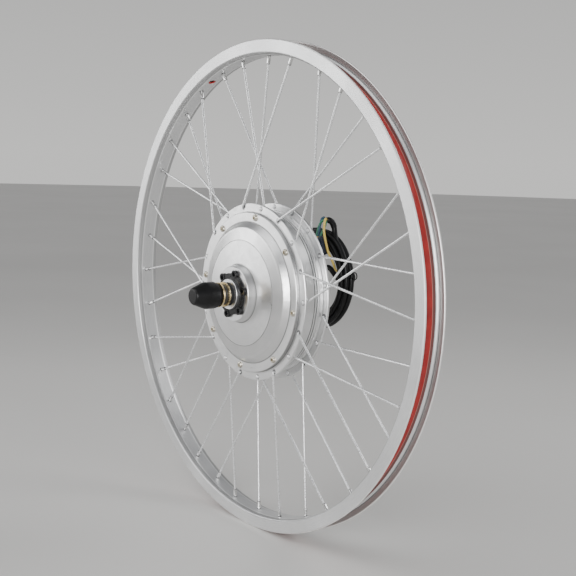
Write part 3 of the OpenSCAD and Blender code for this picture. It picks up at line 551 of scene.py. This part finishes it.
FINISHES = {
    "axle_steel": turned_metal("axle_steel", (0.36, 0.36, 0.37), (0.20, 0.20, 0.21), (0.3, 0.45)),
    "bearing_steel": turned_metal("bearing_steel", (0.80, 0.80, 0.81), (0.62, 0.62, 0.64), (0.08, 0.2)),
    "cage_steel": cast_metal("cage_steel", (0.60, 0.59, 0.57), (0.42, 0.41, 0.40), (0.25, 0.4)),
    "black_plastic": moulded("black_plastic", (0.035, 0.035, 0.036), (0.016, 0.016, 0.017), (0.3, 0.5)),
    "yellow_zinc": plated("yellow_zinc", (0.86, 0.72, 0.42), (0.66, 0.50, 0.24), (0.75, 0.62, 0.50)),
    "screw_zinc": plated("screw_zinc", (0.70, 0.66, 0.56), (0.46, 0.42, 0.34), (0.60, 0.58, 0.54),
                         (0.12, 0.3)),
    "zinc_steel": plated("zinc_steel", (0.78, 0.79, 0.80), (0.55, 0.56, 0.58), (0.62, 0.66, 0.72)),
    "cap_rubber": moulded("cap_rubber", (0.012, 0.012, 0.013), (0.006, 0.006, 0.006), (0.3, 0.42), 1600,
                          Specular_IOR_Level=0.22),
    "cast_aluminium": cast_metal("cast_aluminium", (0.66, 0.66, 0.66), (0.44, 0.44, 0.45)),
    "lamination_steel": laminated("lamination_steel"),
    "copper": lacquered_wire("copper"),
    "board_green": circuit_board("board_green"),
    "lead_sleeving": moulded("lead_sleeving", (0.55, 0.50, 0.42), (0.38, 0.33, 0.26), (0.5, 0.7)),
    "cable_jacket": moulded("cable_jacket", (0.009, 0.009, 0.010), (0.004, 0.004, 0.004), (0.3, 0.44), 900,
                            Specular_IOR_Level=0.22),
    "wire_yellow": moulded("wire_yellow", (0.80, 0.60, 0.14), (0.62, 0.44, 0.08), (0.3, 0.45)),
    "wire_green": moulded("wire_green", (0.07, 0.27, 0.17), (0.03, 0.17, 0.10), (0.3, 0.45)),
    "wire_blue": moulded("wire_blue", (0.02, 0.09, 0.15), (0.01, 0.05, 0.09), (0.3, 0.45)),
    "plug_plastic": moulded("plug_plastic", (0.020, 0.030, 0.055), (0.010, 0.016, 0.032), (0.25, 0.42)),
    "terminal_brass": plated("terminal_brass", (0.82, 0.62, 0.27), (0.60, 0.42, 0.15), (0.50, 0.30, 0.14)),
    "seal_rubber": moulded("seal_rubber", (0.045, 0.045, 0.047), (0.022, 0.022, 0.023), (0.45, 0.65)),
    "silver_shell": turned_metal("silver_shell", (0.84, 0.84, 0.84), (0.74, 0.745, 0.75), (0.30, 0.42),
                                 2200, shaded_seams=[(85.3, 0.6, 0.85)], shaded_holes=True),
    "turned_cover": turned_metal("turned_cover", (0.84, 0.84, 0.84), (0.74, 0.745, 0.75), (0.28, 0.40),
                                 2200, shaded_seams=[(56.1, 0.45, 0.85), (75.2, 0.9, 0.85), (31.0, 0.8, 0.85),
                                              (85.0, 0.4, 0.6)]),
    "back_iron": cast_metal("back_iron", (0.40, 0.40, 0.41), (0.24, 0.24, 0.25), (0.35, 0.55), 500),
    "magnet_nickel": plated("magnet_nickel", (0.74, 0.72, 0.68), (0.58, 0.56, 0.53), (0.48, 0.46, 0.44)),
    "black_mount": moulded("black_mount", (0.014, 0.014, 0.015), (0.006, 0.006, 0.007), (0.2, 0.36),
                           700, 0.15, Specular_IOR_Level=0.3),
    "rim_aluminium": anodised("rim_aluminium"),
    "red_tape": rim_strip("red_tape"),
    "spoke_steel": spun_steel("spoke_steel"),
    "nipple_brass": nipple_plating("nipple_brass"),
}

NODE_FINISHES = {"cover_disc_side": "turned_cover", "cover_cable_side": "turned_cover"}

for part in frame["record"]["subparts"]:
    mesh = frame["nodes"][part["node"]].data
    mesh.materials.clear()
    mesh.materials.append(FINISHES[NODE_FINISHES.get(part["node"], part["material_slot"])])


# ---------------------------------------------------------------- cable, wires and what is on them
CABLE = smooth_path(LEAD + coil_points() + TAIL)
RELIEF_LEN = 15 * MM
RIB_PITCH = 2.2 * MM
SLEEVE_LIP = 3 * MM


def strain_relief(along):
    """Radius of the ribbed boot where the cable leaves the axle."""
    taper = 4.9 - 1.5 * ease(along / RELIEF_LEN)
    rib = 0.45 if math.sin(along / RIB_PITCH * TURN) > 0 else 0.0
    return (taper + rib) * MM


def phase_wire(colour, points, terminal):
    """A wire from inside the jacket's end to its bullet terminal."""
    path = smooth_path(TAIL[-3:-1] + points, 4)
    wire = add_piece("phase_wire_" + colour, [tube(path, WIRE_D / 2)], "axle_set", "wire_" + colour,
                     ["wire_" + colour])


def bullet(name, points, replaced=()):
    """A crimped sleeve and a grooved bullet tip, on a wire's end."""
    profile = [(0.0, -1.0), (1.6, -1.0), (2.2, -0.6), (2.2, 4.2), (1.7, 4.6), (1.7, 5.2), (2.0, 5.5),
               (2.0, 7.4), (1.7, 7.7), (2.0, 8.0), (2.0, 9.6), (1.3, 10.7), (0.5, 11.0), (0.0, 11.0)]
    scaled = [(r * MM, h * MM) for r, h in rounded(profile, 0.25, 2)]
    return add_piece(name, [lathe(scaled, points[-1], points[-1] - points[-2], 20)],
                     "axle_set", "terminal_brass", replaced)


def box_ring(centre, axes, half, corner, steps=4):
    """A rounded rectangle: half sizes and corner radius, in the plane of two axes."""
    ring = []
    for quarter in range(4):
        sx = 1 if quarter in (0, 3) else -1
        sy = 1 if quarter in (0, 1) else -1
        for s in range(steps + 1):
            angle = (quarter + s / steps) * TURN / 4
            u = sx * (half[0] - corner) + corner * math.cos(angle)
            v = sy * (half[1] - corner) + corner * math.sin(angle)
            ring.append(centre + axes[0] * u + axes[1] * v)
    return ring


def box_loft(centre, axes, levels, corner):
    """Rounded boxes stacked along the third axis. Each level is (height, half width, half depth)."""
    rings = [box_ring(centre + axes[2] * h * MM, axes, (a * MM, b * MM), corner * MM)
             for h, a, b in levels]
    return loft(rings)


PLUG_AT = Vector((23.7, 61.5, 50)) * MM
PLUG_LEAN = math.radians(22)


def signal_plug():
    """A waisted housing with a recessed mouth, a latch and grip ribs."""
    axes = (Vector((math.cos(PLUG_LEAN), 0, math.sin(PLUG_LEAN))), Vector((0, 1, 0)),
            Vector((-math.sin(PLUG_LEAN), 0, math.cos(PLUG_LEAN))))
    shell = box_loft(PLUG_AT, axes, [(-5, 3.6, 2.6), (-9.6, 3.7, 2.7), (-9.9, 4.0, 3.0), (-9.9, 4.6, 3.6),
                                     (-9.4, 4.9, 3.9), (0.0, 4.9, 3.9), (0.5, 4.4, 3.4), (8.6, 4.2, 3.2),
                                     (9.6, 3.4, 2.5), (9.9, 2.2, 1.8)], 0.8)
    latch = box_loft(PLUG_AT - axes[1] * 3.9 * MM, axes, [(-8, 1.4, 0.4), (-7.6, 1.6, 0.7),
                                                        (4, 1.6, 0.7), (4.4, 1.4, 0.4)], 0.2)
    ribs = [box_loft(PLUG_AT, axes, [(h, 4.4, 3.4), (h + 0.1, 4.75, 3.75), (h + 0.7, 4.75, 3.75),
                                     (h + 0.8, 4.4, 3.4)], 0.8) for h in (2.2, 4.0, 5.8)]
    return add_piece("signal_plug_housing", [shell, latch, *ribs], "axle_set", "plug_plastic",
                     ["signal_plug"])


def signal_bundle(plug):
    """Thin wires twisted together down to the plug."""
    path = smooth_path(TAIL[-3:-1] + SIGNAL + [SIGNAL[-1] + (PLUG_AT - SIGNAL[-1]) * 0.3], 4)
    strands = []
    for k in range(5):
        line = []
        for i, point in enumerate(path):
            forward = (path[min(i + 1, len(path) - 1)] - path[max(i - 1, 0)]).normalized()
            across, up = side_axes(forward, Vector((1, 0.3, 0)))
            angle = k * TURN / 5 + i * 0.12
            line.append(point + 0.82 * MM * (across * math.cos(angle) + up * math.sin(angle)))
        strands.append(tube(line, 0.5 * MM, 8))
    bundle = add_piece("signal_wires", strands, "axle_set", "wire_green", ["signal_lead"])


STRAP_HALF_T = 0.5 * MM
STRAP_HALF_W = 1.5 * MM
CURL_R = 4 * MM


def cable_tie():
    """A strap around the coil, its head, and its spare end curled back in a loop."""
    angle = TIE_ANGLE
    out = Vector((math.cos(angle), 0, math.sin(angle)))
    along = Vector((-math.sin(angle), 0, math.cos(angle)))
    back = Vector((0, 1, 0))
    centre = COIL_AT + out * COIL_R
    band = []
    for k in range(48):
        turn = k * TURN / 48
        way = out * math.cos(turn) + back * math.sin(turn)
        band.append(box_ring(centre + way * (COIL_D / 2 + 0.6 * MM), (way, along),
                             (STRAP_HALF_T, STRAP_HALF_W), 0.3 * MM, 2))
    head = box_loft(centre + out * (COIL_D / 2 + 0.7 * MM), (along, back, out),
                    [(-0.4, 1.9, 2.2), (0.0, 2.2, 2.5), (2.4, 2.2, 2.5), (2.9, 1.8, 2.1)], 0.5)
    loop_at = centre + out * (COIL_D / 2 + 5.1 * MM)
    curl = []
    for k in range(40):
        turn = math.pi * (1 + 1.8 * k / 39)
        way = out * math.cos(turn) + along * math.sin(turn)
        curl.append(box_ring(loop_at + way * CURL_R, (way, back), (0.35 * MM, 0.7 * MM), 0.2 * MM, 2))
    return add_piece("coil_tie", [loft(band, wrap=True), head, loft(curl)], "axle_set", "cable_jacket",
                     ["cable_tie"])


def motor_cable():
    """The cable from the axle's end through its coil to the end of its jacket."""
    relief_path = [Vector((0, y * MM, 0)) for y in (76.1, 77.2, 78.3, 79.4)]
    relief_path += smooth_path(first_part(CABLE, RELIEF_LEN), 4)
    relief = add_piece("cable_strain_relief", [tube(relief_path, strain_relief, 24)],
                       "axle_set", "cable_jacket", ["cable_gland"])
    sleeve_path = smooth_path(TAIL[-4:], 5)
    sleeve_length = path_length(sleeve_path)

    def sleeve_radius(along):
        return (3.35 - 0.7 * ease((along - sleeve_length + SLEEVE_LIP) / SLEEVE_LIP)) * MM

    sleeve = add_piece("jacket_end_sleeve", [tube(sleeve_path, sleeve_radius, 20)],
                       "axle_set", "cable_jacket")
    cable = add_piece("motor_cable", [tube(CABLE, CABLE_D / 2)], "axle_set", "cable_jacket",
                      ["cable_lead", "cable_coil", "cable_tail"])
    cable_tie()


motor_cable()
phase_wire("yellow", YELLOW, bullet("bullet_yellow", YELLOW, ["bullet_terminals"]))
phase_wire("green", GREEN, bullet("bullet_green", GREEN))
phase_wire("blue", BLUE, bullet("bullet_blue", BLUE))
signal_bundle(signal_plug())


# ---------------------------------------------------------------- spokes and nipples
def on_wheel(radius, angle, y):
    """The point at a radius and an angle around the axle."""
    return Vector((radius * math.cos(angle), y, radius * math.sin(angle)))


def spoke_ends(side, outside, angle, lean):
    """The bend at the hub and the hole in the rim of one spoke."""
    off = SPOKE_R + 0.35 * MM
    bend_y = side * (FLANGE_OUT + off if outside else FLANGE_IN - off)
    return on_wheel(SPOKE_CIRCLE_R, angle, bend_y), on_wheel(BED_R, angle + lean, side * BED_OFFSET)


ELBOW_REACH = 2.4 * MM


def spoke(side, outside, angle, lean):
    """A drawn spoke: domed head, elbow through the flange, butt, and straight run into its nipple."""
    bend, tip = spoke_ends(side, outside, angle, lean)
    far_y = side * (FLANGE_IN if outside else FLANGE_OUT)
    way = Vector((0, -side if outside else side, 0))
    head = Vector((bend.x, far_y, bend.z))
    run = (tip - bend).normalized()
    start, end = bend + way * ELBOW_REACH, bend + run * ELBOW_REACH
    elbow = [(1 - t) ** 2 * start + 2 * t * (1 - t) * bend + t * t * end
             for t in (k / 8 for k in range(9))]
    path = [head + way * 0.3 * MM] + elbow + [bend + run * 12 * MM, tip - run * 8 * MM, tip]
    dome = [(0.0, -0.1), (2.2, -0.1), (2.2, 0.35), (1.9, 0.85), (1.2, 1.2), (0.5, 1.32), (0.0, 1.34)]
    head_form = lathe([(r * MM, h * MM) for r, h in rounded(dome, 0.2, 2)], head, way, 16)
    return [tube(path, SPOKE_R, 12), head_form]


SQUARE_START = 1.2 * MM
SQUARE_END = 7.9 * MM
SQUARE_HALF = 1.62 * MM


def nipple_section(radius, height, angle):
    """Round under the rim, then a square drive with rounded corners."""
    square = ease((height - SQUARE_START) / (0.5 * MM)) * ease((SQUARE_END - height) / (0.4 * MM))
    flat = SQUARE_HALF / max(abs(math.cos(angle)), abs(math.sin(angle)))
    return radius + (min(radius, flat) - radius) * square


def nipple(side, outside, angle, lean):
    """A nipple in its rim hole: conical head inside the rim, square drive outside it."""
    bend, tip = spoke_ends(side, outside, angle, lean)
    profile = [(0.0, -4.1), (2.4, -4.1), (2.95, -3.7), (2.95, -3.3), (1.95, -2.3), (1.95, 1.1), (1.95, 1.3),
               (1.95, 1.5), (1.95, 1.75), (1.95, 7.4), (1.95, 7.6), (1.95, 7.9), (1.75, 8.3), (1.4, 8.6),
               (0.0, 8.6)]
    return lathe([(r * MM, h * MM) for r, h in profile], tip, bend - tip, 24, nipple_section)


SPOKE_GROUPS = {
    "spokes_disc_side_outer": (-1, True, 4, -1),
    "spokes_disc_side_inner": (-1, False, 0, 1),
    "spokes_cable_side_outer": (1, True, 2, 1),
    "spokes_cable_side_inner": (1, False, 6, -1),
}


def spokes_and_nipples():
    """Four pieces of nine spokes each, and one piece of all the nipples."""
    nipples = []
    for node, (side, outside, first, way) in SPOKE_GROUPS.items():
        parts = []
        for k in range(SPOKES // 4):
            angle = (first / 2 + 4 * k) * TURN / SPOKES
            parts += spoke(side, outside, angle, way * SPOKE_LEAN)
            nipples.append(nipple(side, outside, angle, way * SPOKE_LEAN))
        add_piece("drawn_" + node, parts, "wheel", "spoke_steel", [node])
    add_piece("square_drive_nipples", nipples, "wheel", "nipple_brass", ["spoke_nipples"])


# ---------------------------------------------------------------- screws and cap
SOCKET_HALF_FLAT = 1.45 * MM
SOCKET_R = 1.7 * MM
SOCKET_FLOOR = 0.3 * MM


def cover_screw(side, angle):
    """A button head screw with a deep hex socket and a chamfer around it."""
    base = on_wheel(SCREW_CIRCLE_R, angle, side * COVER_FACE_Y)
    dome = [(0.0, -0.2), (3.55, -0.2), (3.6, 0.5), (3.3, 1.3), (2.7, 1.85), (2.1, 2.12), (1.75, 2.15),
            (1.6, 1.9), (1.55, 0.6), (0.0, 0.4)]

    def socket(radius, height, turn):
        inside = height > SOCKET_FLOOR and radius < SOCKET_R
        across = SOCKET_HALF_FLAT / max(math.cos((turn + k * TURN / 6) % TURN) for k in range(6))
        return min(radius, across) if inside else radius

    return lathe([(r * MM, h * MM) for r, h in dome], base, Vector((0, side, 0)), 36, socket)


def cover_screws(side, node):
    """A ring of screws, in a duller zinc than the rest of their slot."""
    parts = [cover_screw(side, FIRST_SCREW + k * TURN / SCREWS) for k in range(SCREWS)]
    piece = add_piece("button_head_" + node, parts, "wheel", "yellow_zinc", [node], sharp=50)
    piece.data.materials[0] = FINISHES["screw_zinc"]


def axle_cap():
    """A moulded rubber cap: straight skirt, long cone and a flat tip, all its edges rounded."""
    tip = CAP_TIP_Y / MM
    outside = [(11.35, -59.35), (12.2, -59.35), (14.0, -63.8), (14.0, -74.5), (9.0, -88.0), (8.0, -89.2),
               (7.0, tip), (0.0, tip)]
    inside = [(0.0, -85.4), (6.3, -85.3), (6.3, -69.5), (11.3, -69.4), (11.35, -59.35)]
    profile = rounded(inside[:-1] + outside, 1.1, 4)
    form = lathe([(r * MM, -y * MM) for r, y in profile], Vector((0, 0, 0)), Vector((0, -1, 0)), 64)
    add_piece("moulded_cap", [form], "axle_cap", "cap_rubber", ["axle_cap"], sharp=50)


def tape_at_valve():
    """The rim tape's collar, which lines the valve hole and shows red inside it."""
    direction = on_wheel(1, VALVE_ANGLE, 0)
    profile = [(2.4, 1.2), (4.15, 1.2), (4.15, 0.35), (3.4, 0.3), (2.4, 0.9), (2.4, 1.2)]
    ring = lathe([(r * MM, h * MM) for r, h in profile], direction * BED_R, direction, 40)
    vertices, faces = ring
    open_faces = faces[:-2]
    add_piece("tape_at_valve", [(vertices, open_faces)], "wheel", "red_tape")


# ---------------------------------------------------------------- axle and nuts
THREAD_PITCH = 1.25 * MM
THREAD_DEPTH = 0.7 * MM
THREAD_STEPS = 8        # rings to each turn of the thread
THREAD_R = 6 * MM
THREAD_END_R = 4.9 * MM
SHOULDER_R = 7.5 * MM
STATOR_SEAT_R = 11 * MM
STATOR_SEAT_HALF = 26 * MM
FORK_HALF = 50 * MM
STEP = 0.01 * MM        # keeps two rings of the profile apart
AXLE_HALF_FLAT = 5 * MM
NUT_HALF_FLAT = 9.5 * MM
NUT_START = 59 * MM
NUT_H = 10 * MM


def axle_section(radius, height, angle):
    """Outside the fork's width the axle is threaded, with a flat on each side."""
    if abs(height) <= FORK_HALF:
        return radius
    turn = (height / THREAD_PITCH + angle / TURN) % 1
    crest = radius - THREAD_DEPTH * abs(2 * turn - 1)
    return min(crest, AXLE_HALF_FLAT / max(abs(math.sin(angle)), 0.01))


def threaded_run(start, end, radius):
    """Profile rings close enough together for the thread's shape."""
    count = math.ceil(abs(end - start) / THREAD_PITCH * THREAD_STEPS)
    return [(radius, start + (end - start) * i / count) for i in range(count + 1)]


def axle():
    """The axle, turned in steps, threaded and flattened at both ends."""
    low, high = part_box("axle")[0].y, AXLE_END
    profile = [(0.0, low), (THREAD_END_R, low)]
    profile += threaded_run(low + MM, -FORK_HALF - STEP, THREAD_R)
    profile += [(THREAD_R, -FORK_HALF), (SHOULDER_R, -FORK_HALF), (SHOULDER_R, -STATOR_SEAT_HALF),
                (STATOR_SEAT_R, -STATOR_SEAT_HALF), (STATOR_SEAT_R, STATOR_SEAT_HALF),
                (SHOULDER_R, STATOR_SEAT_HALF), (SHOULDER_R, FORK_HALF), (THREAD_R, FORK_HALF)]
    profile += threaded_run(FORK_HALF + STEP, high - MM, THREAD_R)
    profile += [(THREAD_END_R, high), (0.0, high)]
    form = lathe(profile, Vector((0, 0, 0)), Vector((0, 1, 0)), 48, axle_section)
    add_piece("threaded_axle", [form], "axle_set", "axle_steel", ["axle"], sharp=60)


def nut_section(radius, height, angle):
    """A hexagon whose corners are turned off at both faces."""
    hexagon = NUT_HALF_FLAT / max(math.cos((angle + k * TURN / 6) % TURN) for k in range(6))
    from_face = min(height, NUT_H - height)
    return min(radius, hexagon, NUT_HALF_FLAT + 0.1 * MM + 1.7 * from_face)


def axle_nuts():
    """Both hexagon nuts, from their seats outwards."""
    heights = [0.0, 0.2, 0.45, 0.75, 1.2, 8.8, 9.25, 9.55, 9.8, 10.0]
    profile = [(5.9 * MM, 0.0)] + [(12 * MM, h * MM) for h in heights] + [(5.9 * MM, NUT_H)]
    nuts = [lathe(profile, Vector((0, side * NUT_START, 0)), Vector((0, side, 0)), 72, nut_section)
            for side in (-1, 1)]
    add_piece("chamfered_nuts", nuts, "axle_set", "zinc_steel", ["axle_nuts"])


axle()
axle_nuts()
spokes_and_nipples()
tape_at_valve()
cover_screws(-1, "cover_screws_disc_side")
cover_screws(1, "cover_screws_cable_side")
axle_cap()


# ---------------------------------------------------------------- floor, light and finish
FLOOR_R = 12
FLOOR_Z = cad_low.z - 0.2 * MM
SOFTBOX_SPREAD = math.radians(90)       # narrow enough to leave the floor beside a softbox dim


def floor():
    """A plain pale floor under the wheel."""
    sides = 64
    ring = [Vector((FLOOR_R * math.cos(k * TURN / sides), FLOOR_R * math.sin(k * TURN / sides), FLOOR_Z))
            for k in range(sides)]
    mesh = bpy.data.meshes.new("floor")
    mesh.from_pydata(ring, [], [tuple(range(sides))])
    f = Finish("floor")
    grain = f.noise(f.place(), 60, 4)
    tone = f.noise(f.place(), 1.5, 2)
    colour = f.blend(f.span(tone, 0.0, 1.0), (0.70, 0.69, 0.67), (0.74, 0.73, 0.71))
    mesh.materials.append(f.wear(colour, f.span(grain, 0.75, 0.9), grain, 0.03))
    plane = bpy.data.objects.new("floor", mesh)
    bpy.context.scene.collection.objects.link(plane)


def soft_light(name, position, size, power):
    """A square softbox aimed at the wheel's hub."""
    data = bpy.data.lights.new(name, "AREA")
    data.shape = "SQUARE"
    data.size = size
    data.spread = SOFTBOX_SPREAD
    data.energy = power
    light = bpy.data.objects.new(name, data)
    light.location = position
    light.rotation_euler = (-Vector(position)).to_track_quat("-Z", "Y").to_euler()
    bpy.context.scene.collection.objects.link(light)


def daylight():
    """A broad soft sun from the front, above."""
    data = bpy.data.lights.new("daylight", "SUN")
    data.energy = 1.1
    data.angle = math.radians(50)
    light = bpy.data.objects.new("daylight", data)
    light.rotation_euler = (math.radians(35), math.radians(-12), 0)
    bpy.context.scene.collection.objects.link(light)


def sky():
    """Pale all round, darker overhead."""
    world = bpy.data.worlds.new("sky")
    world.use_nodes = True
    tree = world.node_tree
    at = tree.nodes.new("ShaderNodeTexCoord")
    part = tree.nodes.new("ShaderNodeSeparateXYZ")
    ramp = tree.nodes.new("ShaderNodeValToRGB")
    ramp.color_ramp.elements[0].position = 0.0
    ramp.color_ramp.elements[0].color = (0.74, 0.735, 0.72, 1)
    ramp.color_ramp.elements[1].position = 0.6
    ramp.color_ramp.elements[1].color = (0.12, 0.122, 0.13, 1)
    tree.links.new(at.outputs["Generated"], part.inputs[0])
    tree.links.new(part.outputs["Z"], ramp.inputs[0])
    tree.links.new(ramp.outputs[0], tree.nodes["Background"].inputs["Color"])
    tree.nodes["Background"].inputs["Strength"].default_value = 1.0
    bpy.context.scene.world = world


place_camera()
floor()
sky()
daylight()
soft_light("key", (1.6, -1.55, 0.42), 1.15, 10.5)
soft_light("fill", (-1.75, -1.45, 0.4), 1.1, 4)
soft_light("back_light", (0.6, 1.8, 1.2), 1.2, 4.2)
